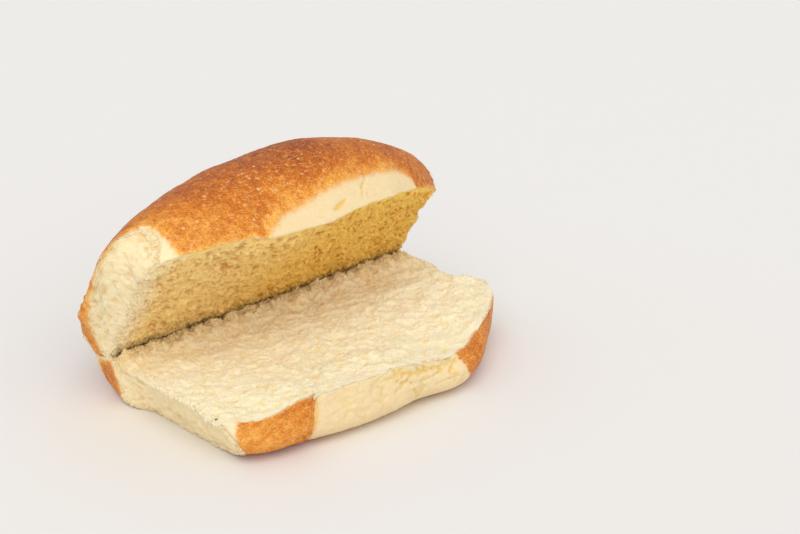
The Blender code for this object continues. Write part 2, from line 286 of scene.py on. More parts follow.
# A closed sheet: a fine top, a coarse underside, and many-sided faces round the rim.
def slab(top, inward, stride):
    rows, columns = top.shape[:2]
    rowPick = np.unique(np.append(np.arange(0, rows, stride), rows - 1))
    columnPick = np.unique(np.append(np.arange(0, columns, stride), columns - 1))
    under = (top + inward)[np.ix_(rowPick, columnPick)]
    start = rows * columns
    topIndex = np.arange(start).reshape(rows, columns)
    underIndex = np.arange(under.shape[0] * under.shape[1]).reshape(under.shape[:2]) + start
    faces = gridQuads(rows, columns) + gridQuads(*under.shape[:2], start=start, flip=True)
    borders = [
        (topIndex[:, 0], underIndex[:, 0], rowPick, False),
        (topIndex[:, -1], underIndex[:, -1], rowPick, True),
        (topIndex[0, :], underIndex[0, :], columnPick, True),
        (topIndex[-1, :], underIndex[-1, :], columnPick, False),
    ]
    for fine, coarse, pick, flip in borders:
        for k in range(len(pick) - 1):
            face = list(fine[pick[k]:pick[k + 1] + 1]) + [coarse[k + 1], coarse[k]]
            faces.append([int(i) for i in (face[::-1] if flip else face)])
    points = np.concatenate([top.reshape(-1, 3), under.reshape(-1, 3)])
    return points, faces, (rowPick, columnPick)


def spread(values, picks, under=None):  # a slab's values: those of its top, then those of its underside
    below = values[np.ix_(*picks)] if under is None else np.full([len(pick) for pick in picks], under)
    return np.concatenate([values.ravel(), below.ravel()])


class Wire:  # a node's output, with sums on it
    def __init__(self, tree, socket, node=None):
        self.tree, self.socket, self.node = tree, socket, node

    def make(self, kind, settings, inputs, out=0):
        node = self.tree.nodes.new(kind)
        for key, value in settings.items():
            if key == "stops":
                ramp = node.color_ramp
                while len(ramp.elements) < len(value):
                    ramp.elements.new(0.5)
                for element, (place, colour) in zip(ramp.elements, value):
                    element.position, element.color = place, colour
            else:
                setattr(node, key, value)
        for key, value in inputs.items():
            if isinstance(value, Wire):
                self.tree.links.new(value.socket, node.inputs[key])
            else:
                node.inputs[key].default_value = value
        return Wire(self.tree, None if out is None else node.outputs[out], node)

    def sum(self, operation, first, second=0.0, clamp=False):
        settings = {"operation": operation, "use_clamp": clamp}
        return self.make("ShaderNodeMath", settings, {0: first, 1: second})

    def __add__(self, other):
        return self.sum("ADD", self, other)

    def __radd__(self, other):
        return self.sum("ADD", other, self)

    def __sub__(self, other):
        return self.sum("SUBTRACT", self, other)

    def __rsub__(self, other):
        return self.sum("SUBTRACT", other, self)

    def __mul__(self, other):
        return self.sum("MULTIPLY", self, other)

    def __rmul__(self, other):
        return self.sum("MULTIPLY", other, self)

    def clamped(self):
        return self.sum("ADD", self, 0.0, clamp=True)

    def between(self, low, high):  # 0 below low, 1 above high
        return self.make("ShaderNodeMapRange", {"interpolation_type": "SMOOTHSTEP"}, {
            "Value": self, "From Min": low, "From Max": high})

    def mix(self, first, second):  # colours, this wire being the share of the second
        return self.make("ShaderNodeMix", {"data_type": "RGBA"}, {0: self, 6: first, 7: second}, out=2)

    def attribute(self, name, out=2):
        return self.make("ShaderNodeAttribute", {"attribute_name": name}, {}, out=out)

    def scaled(self, amount):  # a vector times a number or a triple
        triple = amount if isinstance(amount, tuple) else (amount,) * 3
        return self.make("ShaderNodeVectorMath", {"operation": "MULTIPLY"}, {0: self, 1: triple})

    def grain(self, scale, detail=2.0, rough=0.5, kind="FBM"):  # noise read at this place
        return self.make("ShaderNodeTexNoise", {"noise_type": kind}, {
            "Vector": self, "Scale": scale, "Detail": detail, "Roughness": rough})

    def plug(self, node, key, wire):
        self.tree.links.new(wire.socket, node.inputs[key])

    def cells(self, scale, out=0):  # the distance to the nearest of scattered points, or its own colour
        return self.make("ShaderNodeTexVoronoi", {}, {"Vector": self, "Scale": scale}, out=out)


def paint(red, green, blue):  # a display colour, 0 to 255, as the shader's linear one
    shares = [value / 255 for value in (red, green, blue)]
    return tuple(s / 12.92 if s <= 0.04045 else ((s + 0.055) / 1.055) ** 2.4 for s in shares) + (1.0,)


crustLooks = {
    "browning": ((0.0, (252, 228, 160)), (0.2, (246, 199, 110)), (0.42, (233, 159, 64)),
                 (0.62, (208, 118, 32)), (0.82, (173, 86, 24)), (1.0, (132, 58, 20))),
    "fleck": (248, 200, 134),
    # The third skin colour is painted shade in the hollows of the skin's wrinkles and cracks.
    "skinLight": (243, 225, 184), "skinDark": (235, 205, 150), "skinHollowShade": (238, 198, 96),
    "patchScale": 30.0, "mottleScale": 330.0, "fineScale": 1500.0,
    "dashScale": 1050.0, "dashStretch": (0.55, 1.5, 1.5), "speckScale": 360.0,
    "creaseScale": 560.0, "creaseStretch": (0.8, 1.5, 1.2),
    "softness": 0.15, "softDepth": 0.0015, "softColours": (1.0, 0.5, 0.2), "shine": 0.28,
    "patchy": 0.62, "mottled": 0.75, "grainy": 0.8, "roughness": 0.46, "bump": 0.7, "bumpHeight": 0.0006,
}


def crustShader(start, place):
    looks = crustLooks
    shader = start.make("ShaderNodeBsdfPrincipled", {}, {
        "Subsurface Weight": looks["softness"], "Subsurface Scale": looks["softDepth"],
        "Subsurface Radius": looks["softColours"], "Specular IOR Level": looks["shine"]}).node
    bake, hollow = start.attribute("bake"), start.attribute("pit")
    patches = place.grain(looks["patchScale"], 4.0, 0.6)
    mottle = place.grain(looks["mottleScale"], 4.0, 0.7)
    fine = place.grain(looks["fineScale"], 3.0, 0.65)
    pale = start.attribute("pale") + (mottle - 0.5) * 0.5 + (patches - 0.5) * 0.4
    pale = pale.between(0.12, 0.92)
    brown = bake + (patches - 0.5) * looks["patchy"] + (mottle - 0.5) * looks["mottled"]
    brown = (brown + (fine - 0.5) * looks["grainy"]).clamped()
    stops = [(at, paint(*colour)) for at, colour in looks["browning"]]
    baked = start.make("ShaderNodeValToRGB", {"stops": stops}, {"Fac": brown})
    dashes = place.scaled(looks["dashStretch"]).grain(looks["dashScale"], 2.0, 0.5).between(0.56, 0.72)
    dots = place.cells(looks["speckScale"])
    lot = place.cells(looks["speckScale"], out=1)
    chance = lot.make("ShaderNodeSeparateColor", {}, {0: lot})  # only some of the cells have a speck
    speck = (1 - dots.between(0.06, 0.3)) * chance.between(0.6, 0.9)
    marks = (dashes * 0.5 + speck * 0.75) * (1 - pale)
    speckled = marks.clamped().mix(baked, paint(*looks["fleck"]))
    skin = mottle.mix(paint(*looks["skinLight"]), paint(*looks["skinDark"]))
    # Painted shade in the hollows of the wrinkles and cracks, as deep as the pit attribute says.
    skin = (hollow.between(0.1, 1.0) * 0.85).mix(skin, paint(*looks["skinHollowShade"]))
    start.plug(shader, "Base Color", pale.mix(speckled, skin))
    start.plug(shader, "Roughness", looks["roughness"] + mottle * 0.2 + pale * 0.1)
    creases = place.scaled(looks["creaseStretch"])
    creases = creases.grain(looks["creaseScale"], 3.0, 0.6, kind="RIDGED_MULTIFRACTAL")
    height = mottle * 0.4 + fine * 0.3 + speck * 0.4 + creases * 0.35 + dashes * 0.2
    start.plug(shader, "Normal", start.make("ShaderNodeBump", {}, {
        "Strength": looks["bump"], "Distance": looks["bumpHeight"], "Height": height}))
    return shader


# The crumb's colours: light and cream are its own; hollow is painted shade in the pores; shadeLight and
# shadeDark are painted shade for crumb that lies in shade, most of all the lid's cut face; fuzz is its
# fibres' tone.
crumbLooks = {
    "light": (251, 241, 216), "cream": (250, 235, 194), "hollow": (247, 219, 142),
    "shadeLight": (253, 212, 112), "shadeDark": (212, 142, 40), "fuzz": (242, 204, 130),
    "patchScale": 60.0, "fuzzScale": 520.0, "mottleScale": 300.0,
    "softDepth": 0.0008, "softColours": (1.0, 0.7, 0.4), "roughness": 0.9, "shine": 0.1,
    "bump": 0.28, "bumpHeight": 0.002,
}


def crumbShader(start, place, softness):
    looks = crumbLooks
    shader = start.make("ShaderNodeBsdfPrincipled", {}, {
        "Subsurface Weight": softness, "Subsurface Scale": looks["softDepth"],
        "Subsurface Radius": looks["softColours"], "Specular IOR Level": looks["shine"],
        "Roughness": looks["roughness"]}).node
    # deep says how much of the painted shade colour each place gets.
    pit, deep = start.attribute("pit"), start.attribute("deep")
    patches = place.grain(looks["patchScale"], 3.0, 0.6)
    fuzz = place.grain(looks["fuzzScale"], 5.0, 0.75)
    mottle = place.grain(looks["mottleScale"], 3.0, 0.6)
    bright = patches.mix(paint(*looks["light"]), paint(*looks["cream"]))
    # Painted shade in the pores, as deep as the pit attribute says.
    bright = (pit.between(0.1, 1.0) * 0.5).mix(bright, paint(*looks["hollow"]))
    # The painted shade colour: darker in deeper pores, as painted pore shade, and in random mottled spots.
    darker = (pit.between(0.0, 0.8) * 0.9 + (mottle - 0.4) * 1.3).clamped()
    paintedShadeColour = darker.mix(paint(*looks["shadeLight"]), paint(*looks["shadeDark"]))
    colour = deep.mix(bright, paintedShadeColour)
    colour = (fuzz.between(0.42, 0.7) * 0.13).mix(colour, paint(*looks["fuzz"]))
    start.plug(shader, "Base Color", colour)
    start.plug(shader, "Normal", start.make("ShaderNodeBump", {}, {
        "Strength": looks["bump"], "Distance": looks["bumpHeight"], "Height": fuzz}))
    return shader


def breadMaterial(name, softness):
    material = bpy.data.materials.new(name)
    material.use_nodes = True
    tree = material.node_tree
    tree.nodes.clear()
    start = Wire(tree, None)
    place = start.attribute("rest", out=1)
    crustSide = Wire(tree, crustShader(start, place).outputs[0])
    crumbSide = Wire(tree, crumbShader(start, place, softness).outputs[0])
    blend = start.make("ShaderNodeMixShader", {}, {0: start.attribute("bare"), 1: crustSide, 2: crumbSide})
    start.make("ShaderNodeOutputMaterial", {}, {"Surface": blend}, out=None)
    return material


crustMake = {
    "columns": 212, "domeFront": 136, "domeBack": 88, "bowlBack": 40, "bowlFront": 52, "wallPull": 2.5,
    "floor": 9, "floorEnd": 0.96, "floorShort": 3.0, "hingeBehind": 1.6, "hingeClear": 1.2,
    "thickness": 1.3, "endLip": 0.7, "recess": 2.9, "rimShare": 0.4, "rimReach": 9.0, "corner": 2.4,
    "middle": (8.0, 0.0), "fineWave": 3.2, "fineRelief": 0.14, "raggedWave": 5.0, "ragged": 0.8,
    "patchDepth": 0.5, "patchFoam": 0.35, "patchWave": 2.2, "patchLumps": 0.4, "deepest": 1.0,
}


def crowded(count):  # shares from 0 to 1, closest together near 1, where the skin turns flattest
    return 1 - (1 - np.linspace(0, 1, count)) ** 5


def legShares(x, back, dome, count, wallPull):  # evenly spaced places down one quarter of the section at x
    dense = crowded(420)
    y, z = skinPoint(np.full_like(dense, x), back, dense, dome)
    weight = 1 + wallPull * smooth(-2, 14, z)[1:] if not dome else 1.0
    length = np.append(0, np.cumsum(np.hypot(np.diff(y), np.diff(z)) * weight))
    return np.interp(np.linspace(0, length[-1], count), length, dense)


def sectionShares(x, legs):  # the quarters of one section after each other, without the doubled points
    parts = [legShares(x, *leg)[:: 1 if forward else -1] for leg, forward in legs]
    return np.concatenate([part[1:] if k else part for k, part in enumerate(parts)])


def fitColumns(count, backs, domes, legs):  # fits each column between the torn ends
    u = np.linspace(0, 1, count)
    nominal = rollForm["endLeft"] + u * (rollForm["endRight"] - rollForm["endLeft"])
    shares = np.array([sectionShares(x, legs) for x in nominal])
    x = np.repeat(nominal[:, None], shares.shape[1], axis=1)
    for _ in range(3):
        y, z = skinAt(x, backs, shares, domes)
        left, right = endLimits(np.stack([x, y, z], -1), domes)
        x = left + u[:, None] * (right - left)
    y, z = skinAt(x, backs, shares, domes)
    return np.stack([x, y, z], -1)


def skinAt(x, backs, shares, domes):
    domeY, domeZ = skinPoint(x, backs, shares, True)
    bowlY, bowlZ = skinPoint(x, backs, shares, False)
    return np.where(domes, domeY, bowlY), np.where(domes, domeZ, bowlZ)


def frontBulge(p):  # the swelling under the rim, right of the middle
    x, y = p[..., 0], p[..., 1]
    below = np.clip(1 - p[..., 2] / rollForm["cutHeight"], 0, 1)
    along = smooth(*rollForm["bulgeStart"], x) * (1 - smooth(*rollForm["bulgeStop"], x))
    height = smooth(0, 0.4, below) * (1 - 0.4 * smooth(0.7, 1.0, below))
    depth = rollForm["bulgeDepth"] * along * height * smooth(0, 20, -y)
    slant = radians(rollForm["bulgeSlant"])
    return depth[..., None] * np.array([sin(slant), -cos(slant), 0.0])


def frontFolds(p):  # the creases low on the front wall
    z, y, x = p[..., 2], p[..., 1], p[..., 0]
    low = smooth(0, 3, z) * (1 - smooth(rollForm["cutHeight"], rollForm["cutHeight"] + 4, z))
    seam = rollForm["seamDepth"] * bell(x, rollForm["seamX"], rollForm["seamWidth"])
    fold = rollForm["foldDepth"] * bell(z, rollForm["foldHeight"], rollForm["foldWidth"])
    fold = fold * (1 - smooth(rollForm["seamX"] - rollForm["seamWidth"], rollForm["seamX"], x))
    return smooth(10, 25, -y) * low * (seam + fold)


def atFront(y):  # 1 at the roll's front, where the base's left corner is torn round
    return smooth(-22, -32, y)


def shutSkin(counts):  # the smooth skin of the shut roll, its halves a little apart along the cut
    make, pull = crustMake, crustMake["wallPull"]
    legs = [((False, True, counts[0], 0.0), True), ((True, True, counts[1] + 1, 0.0), False),
            ((True, False, counts[2] + 1, pull), True), ((False, False, counts[3] + 1, pull), False)]
    backs = np.repeat((False, True, True, False), counts)
    domes = np.repeat((True, True, False, False), counts)
    skin = fitColumns(make["columns"], backs, domes, legs)
    rimLevel = cutLevel(skin[:, :1]) * make["rimShare"]
    over = skin[..., 2] - rollForm["cutHeight"]
    half = np.where(domes, 1, -1)
    lift = (1 - smooth(0, make["rimReach"], half * over)) * ~backs
    skin[..., 2] += rimLevel * lift + rollOpening["gap"] / 2 * half * lift
    return skin, backs, domes


def roughSkin(skin, backs, domes):  # adds relief, the torn patch, marks and ragged ends
    make = crustMake
    normal = gridNormals(skin)
    middle = np.array([*make["middle"], rollForm["cutHeight"]])
    outward = normal * np.sign((normal * (skin - middle)).sum(-1, keepdims=True))
    relief = rollForm["crustRelief"] * fractal(skin, rollForm["crustWave"], 1.0, 2)
    relief = relief * smooth(0.5, 3, skin[..., 2])
    fine = make["fineRelief"] * fractal(skin, make["fineWave"], 0.6, 3, 7.3)
    relief += fine * smooth(0.2, 2, skin[..., 2])
    skin = skin + outward * relief[..., None]
    front = ~backs & (skin[..., 1] < 0)
    patch = tornPatch(skin, domes) * front
    marks = np.where(domes, lidCracks(skin), skinWrinkles(skin)) * front
    lumps = make["patchLumps"] * fractal(skin, make["patchWave"], 0.6, 3, 6.1)
    hollow = patch * (make["patchDepth"] + foam(skin, make["patchFoam"], 81) - lumps) + marks
    fromEnd = skin[..., 0] - skin[:1, :, 0]
    torn = np.maximum(smooth(0, 0.6, patch), ~domes * front * atFront(skin[..., 1]))
    corner = roundedDrop(fromEnd, make["corner"]) * torn * smooth(0, 2, skin[..., 2])
    drop = hollow * np.where(patch > 0, smooth(0, 4, fromEnd), 1) + corner
    skin = skin - outward * drop[..., None]
    skin = skin + frontBulge(skin)
    skin[..., 1] += frontFolds(skin)
    skin[..., 2] = np.maximum(0, skin[..., 2])
    raggedEnds = make["ragged"] * fractal(skin[[0, -1]], make["raggedWave"], 0.6, 3, 3.1)
    skin[0, :, 0] += raggedEnds[0]
    skin[-1, :, 0] += raggedEnds[1]
    return skin, marks


def crustLining(skin, counts):  # inside each rim a lip as thick as the crust, then a floor under the crumb
    make = crustMake
    inset = np.array([0.0, make["thickness"], 0.0])
    lidLip, baseLip = skin[:, :1] + inset, skin[:, -1:] + inset
    behind = counts[0] + counts[1]
    backLine = skin[:, behind - 1:behind]
    hinge = backLine.copy()
    slant = tan(radians(rollOpening["yaw"]))
    hinge[..., 1] = rollOpening["hingeY"] + hinge[..., 0] * slant + make["hingeBehind"]
    hinge[..., 1] = np.minimum(hinge[..., 1], backLine[..., 1] - make["hingeClear"])
    hinge[..., 2] = rollForm["cutHeight"]
    ramp = np.linspace(0, make["floorEnd"], make["floor"])[None, :, None]
    recess = np.array([0.0, 0.0, 1.0]) * (make["recess"] * (1 - ramp**3) + 0.4)
    lidFloor = lidLip * (1 - ramp) + hinge * ramp + recess
    baseFloor = baseLip * (1 - ramp) + hinge * ramp - recess
    short = make["floorShort"]
    for sheet in (lidFloor, baseFloor):  # it stops short of the torn ends, whose corners are rounded
        low, high = sheet[:1, :, 0], sheet[-1:, :, 0]
        sheet[..., 0] = low + short + (sheet[..., 0] - low) * (1 - 2 * short / (high - low))
    return np.concatenate([baseLip, baseFloor, hinge, lidFloor[:, ::-1], lidLip], axis=1)


def endSteps(ring, skinColumns, step):  # at a torn end: the same lip, and the same again a step inwards
    hub = np.array([0.0, rollOpening["hingeY"], rollForm["cutHeight"]])
    toHub = hub - ring
    toHub[:, 0] = 0
    toHub /= np.maximum(np.linalg.norm(toHub, axis=1, keepdims=True), 1e-6)
    clear = smooth(0.3, 2.0, np.abs(ring[:, 2] - hub[2])) + (ring[:, 1] > 0)
    onSkin = np.arange(len(ring)) < skinColumns
    lip = ring + toHub * crustMake["endLip"] * (np.clip(clear, 0, 1) * onSkin)[:, None]
    return [lip, lip + np.array([step, 0.0, 0.0])]


def tubeFaces(stack):  # the rings joined to a tube and capped at both ends, with every face outwards
    rows, columns = stack.shape[:2]
    bm = bmesh.new()
    verts = [bm.verts.new(p) for p in stack.reshape(-1, 3)]
    index = np.arange(rows * columns).reshape(rows, columns)
    wrapped = np.concatenate([index, index[:, :1]], axis=1)
    quads = np.stack([wrapped[:-1, :-1], wrapped[:-1, 1:], wrapped[1:, 1:], wrapped[1:, :-1]], -1)
    for quad in quads.reshape(-1, 4).tolist():
        bm.faces.new([verts[i] for i in quad])
    for ring, flip in ((0, False), (-1, True)):
        outline = [Vector(p[1:]) for p in stack[ring]]
        fill = geometry.delaunay_2d_cdt(outline, [], [list(range(columns))], 1, 1e-7)[2]
        for face in fill:
            bm.faces.new([verts[index[ring][i]] for i in (face[::-1] if flip else face)])
    bm.verts.index_update()
    bmesh.ops.recalc_face_normals(bm, faces=bm.faces)
    faces = [[v.index for v in face.verts] for face in bm.faces]
    bm.free()
    return faces


def makeCrust(material):
    make = crustMake
    counts = [make["domeFront"], make["domeBack"], make["bowlBack"], make["bowlFront"]]
    skin, marks = roughSkin(*shutSkin(counts))
    loop = np.concatenate([skin, crustLining(skin, counts)], axis=1)
    n = skin.shape[1]
    left, right = endSteps(loop[0], n, make["recess"]), endSteps(loop[-1], n, -make["recess"])
    stack = np.concatenate([left[::-1], loop, right])
    faces = tubeFaces(stack)
    onLid = np.zeros(stack.shape[:2], bool)
    onLid[:, :counts[0] + counts[1]] = True
    onLid[:, n + 1 + make["floor"] + 1:] = True
    ahead = np.zeros(stack.shape[:2], bool)
    ahead[:, :counts[0]] = True
    ahead[:, counts[0] + counts[1] + counts[2]:] = True
    shape = opened(stack, onLid)
    rest = stack.reshape(-1, 3)
    bake, pale = browning(stack, onLid, ahead)
    bare = np.ones(stack.shape[:2])
    bare[2:-2, :n] = 0
    tornCorner = smooth(0.6, -0.6, stack[..., 0] - bakeMake["bareX"] + wobble(stack, 1.0))
    bare = np.maximum(bare, np.where(ahead, np.where(onLid, tornPatch(stack, onLid), tornCorner), 0))
    # pit: how deep the skin's wrinkles and cracks are, which the shader paints as shade in their hollows.
    pit = np.zeros(stack.shape[:2])
    pit[2:-2, :n] = np.clip(marks / make["deepest"], 0, 1)
    # deep gives the bare patches a little of the crumb's painted shade colour, as on the torn ends.
    attributes = {"rest": rest * mm, "bake": bake.ravel(), "pale": pale.ravel(), "bare": bare.ravel(),
                  "pit": pit.ravel(), "deep": np.full(len(rest), tornMake["paintedShadeShare"])}
    return finishMesh("crust", shape.reshape(-1, 3) * mm, faces, material, attributes)


def wobble(p, size):  # how far a torn or baked border strays
    return size * (fractal(p, 4.5, 0.7, 3, 12.0) + 0.4 * fractal(p, 1.3, 0.6, 2, 4.0))


bakeMake = {
    "domeBake": 0.7, "frontBake": 0.5, "rightBake": 0.56,
    "paleX": 17.5, "paleLeft": 46.0, "paleRight": 42.0, "paleHeight": 11.2, "paleSoft": 2.6,
    "bandPale": 0.87, "halo": 0.26, "haloWidth": 6.0, "rimPale": 0.15,
    "patchX": -60.9, "patchSlope": 0.28, "patchHeight": 15.5, "fringe": 0.16, "fringeWidth": 1.6,
    "gold": 0.3, "goldX": -50.0, "goldHeight": 9.0, "goldWidth": 20.0, "goldTall": 13.0,
    "seamX": -37.5, "rightX": 34.5, "rightSlope": 0.5, "bareX": -67.3,
    "crackX": 14.0, "crackLean": 1.1, "crackDepth": 0.9, "crackWidth": 0.7,
    "crackStart": (1, 5), "crackStop": (12, 15),
    "holeX": 4.6, "holeHeight": 4.2, "holeDepth": 1.1, "holeWidth": 5.0, "holeTall": 1.1,
    "notch": ((8.6, 10.6), (11.4, 6.0), (14.0, 10.4)),
    "pinch": ((-37.0, 17.0), (-37.4, 9.0), (-45.0, 2.5)),
    "wrinkleDepth": 1.3, "rimFold": 17.6,
}


def patchReach(p):  # distance inside the place on the lid's front left corner where crust is torn off
    make, over = bakeMake, p[..., 2] - rollForm["cutHeight"]
    beyond = make["patchX"] - make["patchSlope"] * over - p[..., 0]
    return np.minimum(beyond, (make["patchHeight"] - over) * 0.8) + wobble(p, 0.8)


def tornPatch(p, dome):
    return smooth(-0.3, 0.6, patchReach(p)) * dome


def paleReach(p):  # distance inside the border of the lid's pale band
    make, over = bakeMake, p[..., 2] - rollForm["cutHeight"]
    away = p[..., 0] - make["paleX"]
    share = np.clip(np.abs(away) / np.where(away < 0, make["paleLeft"], make["paleRight"]), 0, 1)
    height = make["paleHeight"] * (1 - share**2.5) ** np.where(away < 0, 0.62, 0.4)
    return height - over + wobble(p, 0.9) - 4 * (share >= 1)


def lidCracks(p):  # depth of the crack and the small torn hole in the lid's pale band
    make, x, over = bakeMake, p[..., 0], p[..., 2] - rollForm["cutHeight"]
    line = make["crackX"] + make["crackLean"] * over + wobble(p, 1.8)
    crack = make["crackDepth"] * np.exp(-((x - line) / make["crackWidth"]) ** 2)
    crack = crack * smooth(*make["crackStart"], over) * (1 - smooth(*make["crackStop"], over))
    away = x - make["holeX"]
    above = over - make["holeHeight"] - 0.2 * away
    away = away - wobble(p, 1.0)
    hole = np.exp(-(away / make["holeWidth"]) ** 2 - (above / make["holeTall"]) ** 2)
    return crack + make["holeDepth"] * smooth(0.35, 0.8, hole)


def lineReach(p, start, end):  # distance from a line on the front wall, given by its ends' x and z
    a, b = np.array(start), np.array(end)
    spot = p[..., [0, 2]]
    share = np.clip(((spot - a) * (b - a)).sum(-1) / ((b - a) ** 2).sum(), 0, 1)
    return np.linalg.norm(spot - a - share[..., None] * (b - a), axis=-1)


def bentLineReach(p, line):  # distance from a line with one bend
    start, tip, end = line
    return np.minimum(lineReach(p, start, tip), lineReach(p, tip, end))


def skinWrinkles(p):  # depth of the wrinkles in the base's pale skin
    make, x, z = bakeMake, p[..., 0], p[..., 2]
    area = smooth(make["seamX"], -30, x) * (1 - smooth(30, 38, x)) * smooth(2, 7, z)
    lines = 1 - np.abs(fractal(p * np.array([0.45, 1.0, 1.3]), 4.2, 0.8, 2, 21.0)) * 3.2
    deep = make["wrinkleDepth"] * np.clip(lines, 0, 1) ** 2
    deep = deep * (0.4 + 0.6 * smooth(9, 17, z) * smooth(-25, 8, x))
    fold = 0.8 * np.exp(-((z - make["rimFold"] - wobble(p, 0.9)) / 0.6) ** 2) * smooth(-20, 0, x)
    notch = bentLineReach(p, make["notch"])
    pinch = bentLineReach(p, make["pinch"]) + wobble(p, 0.25)
    creases = 0.9 * np.exp(-(notch / 0.5) ** 2) + 0.9 * np.exp(-(pinch / 0.6) ** 2)
    return np.maximum(area * np.maximum(deep, fold), creases)


def browning(p, onLid, ahead):  # how dark each place is baked, and where it stayed pale
    make, x = bakeMake, p[..., 0]
    over = p[..., 2] - rollForm["cutHeight"]
    along, up = (x - make["goldX"]) / make["goldWidth"], (over - make["goldHeight"]) / make["goldTall"]
    gold = np.exp(-along**2 - up**2)
    reach = paleReach(p)
    halo = np.exp(-(np.minimum(reach, 0) / make["haloWidth"]) ** 2) * (over > -1)
    fringe = np.exp(-(np.minimum(patchReach(p), 0) / make["fringeWidth"]) ** 2)
    lighter = make["gold"] * gold + make["halo"] * halo + make["fringe"] * fringe
    lighter = lighter + make["rimPale"] * (1 - smooth(0, 2.0, over))
    dome = make["domeBake"] + 0.1 * smooth(20, 40, over) - lighter * ahead
    back = make["domeBake"] - 0.25 * smooth(0, 18, -over) + 0.3 * smooth(16, 20, -over)
    fromLeft = x - make["seamX"] + wobble(p, 1.2)
    fromRight = make["rightX"] + make["rightSlope"] * (17 - p[..., 2]) + wobble(p, 1.8) - x
    inside = np.minimum(fromLeft, fromRight)  # distance inside the pale skin of the base's front
    base = np.where(x < 0, make["frontBake"], make["rightBake"]) * smooth(-14, 1, -inside)
    base = base + 0.2 * smooth(14, 19.5, -over)
    bake = np.where(np.where(ahead, onLid, over > 0), dome, np.where(ahead, base, back))
    low = 1 - smooth(16.5, 19.5, -over + wobble(p, 0.8))
    band = make["bandPale"] * smooth(-make["paleSoft"], make["paleSoft"], reach)
    pale = np.where(onLid, band, smooth(-0.7, 0.9, inside) * low) * ahead
    return bake, pale


crumbMake = {
    "columns": 400, "rows": 210, "inset": 0.3, "endGap": 0.3, "behind": 1.0, "underside": 8, "depth": 4.0,
    "lidFoam": 1.25, "baseFoam": 0.3, "lidLumps": 1.6, "baseLumps": 0.65,
    "ridge": 3.5, "ridgeWave": 4.0, "rounding": (2.8, 2.0),
}


def calmed(distance):  # how much relief is left near an edge where two faces meet
    return 0.2 + 0.8 * smooth(0, 3.5, distance)


def cutGrid(onLid):  # places on the cut, with how far each is from the rim and from both torn ends
    make, cut = crumbMake, rollForm["cutHeight"]
    u = np.linspace(0, 1, make["columns"])[:, None]
    v = np.linspace(0, 1, make["rows"])[None, :]
    x = rollForm["endLeft"] + u * (rollForm["endRight"] - rollForm["endLeft"])
    x = np.repeat(x, make["rows"], axis=1)
    back = rollOpening["hingeY"] + make["behind"]
    for _ in range(3):
        wall, _ = skinPoint(x, False, np.zeros_like(x), onLid)
        hinge = back + x * tan(radians(rollOpening["yaw"]))
        y = hinge + (wall + make["inset"] - hinge) * v
        left, right = endLimits(np.stack([x, y, np.full_like(x, cut)], -1), np.full(x.shape, onLid))
        x = left + make["endGap"] + u * (right - left - 2 * make["endGap"])
    return np.stack([x, y, np.full_like(x, cut)], -1), y - wall, x - left, right - x


def makeFace(name, onLid, material):
    make = crumbMake
    flat, fromRim, fromLeft, fromRight = cutGrid(onLid)
    out = -1.0 if onLid else 1.0
    _, front, _ = hingeFrame(flat)
    flat[..., 2] += rimmedLevel(flat, fromRim) - out * rollOpening["gap"] / 2
    strength = make["lidFoam"] if onLid else make["baseFoam"]
    fromEnds = np.minimum(fromLeft, fromRight)
    fade = (0.15 + 0.85 * smooth(0.5, 5.0, fromRim)) * calmed(fromEnds)
    depth = foam(flat, strength, 11 + onLid) * fade
    lumps = 0.35 * fractal(flat, 4.0, 0.7, 3, 1.7) + 0.4 * fractal(flat, 1.5, 0.6, 2, 5.0 + onLid)
    lumps = lumps * make["lidLumps" if onLid else "baseLumps"] * fade
    ragged = np.maximum(0.35, 0.85 + 0.5 * fractal(flat, make["ridgeWave"], 0.7, 3, 2.2))
    ridge = make["ridge"] * smooth(0.5, 6.5, front) * (1 - smooth(7.5, 17, front)) * ragged * (not onLid)
    ridge = ridge * smooth(0, 4, fromEnds)
    edges = sum(roundedDrop(gap, radius) for gap, radius in zip((fromLeft, fromRight), make["rounding"]))
    flat[..., 2] += out * (0.4 * strength * fade - depth + lumps + ridge - edges * smooth(2, 10, front))
    inward = np.zeros_like(flat)
    inward[..., 0] = make["depth"] * ((1 - smooth(0, 5, fromLeft)) - (1 - smooth(0, 5, fromRight)))
    inward[..., 1] = 0.6 * make["depth"] * (1 - smooth(0, 5, fromRim))
    inward[..., 2] = -out * make["depth"]
    turned = (lambda values: values) if onLid else (lambda values: values[::-1])  # faces point outwards
    points, faces, picks = slab(turned(flat), turned(inward), make["underside"])
    shape = opened(points, np.full(len(points), onLid))
    # Painted shade: shade is the share of the crumb's painted shade colour. On the lid's cut face, which
    # faces down into shade, it is strongest to the right and fades out towards the left end; on the base it
    # grows towards the crease under the lid.
    if onLid:
        shade = 0.75 + 0.25 * smooth(-45, 15, flat[..., 0])
        shade = shade * (0.3 + 0.7 * smooth(0, 12, fromLeft + wobble(flat, 1.5)))
    else:
        shade = 0.3 * smooth(36, 2, front) + 0.2 * smooth(13, 5, front)
    # How deep each pore is, which the shader paints as shade in the pore; kept weaker near the crease.
    pit = depth / strength / 1.2 * (0.4 + 0.6 * smooth(2, 14, front))
    tuft = tufts(front, fromRim, fromEnds, onLid)
    attributes = {"rest": points * mm, "bare": np.ones(len(points)), "pit": spread(turned(pit), picks),
                  "deep": spread(turned(shade), picks), "tuft": spread(turned(tuft), picks, 0.0)}
    return finishMesh(name, shape * mm, faces, material, attributes)


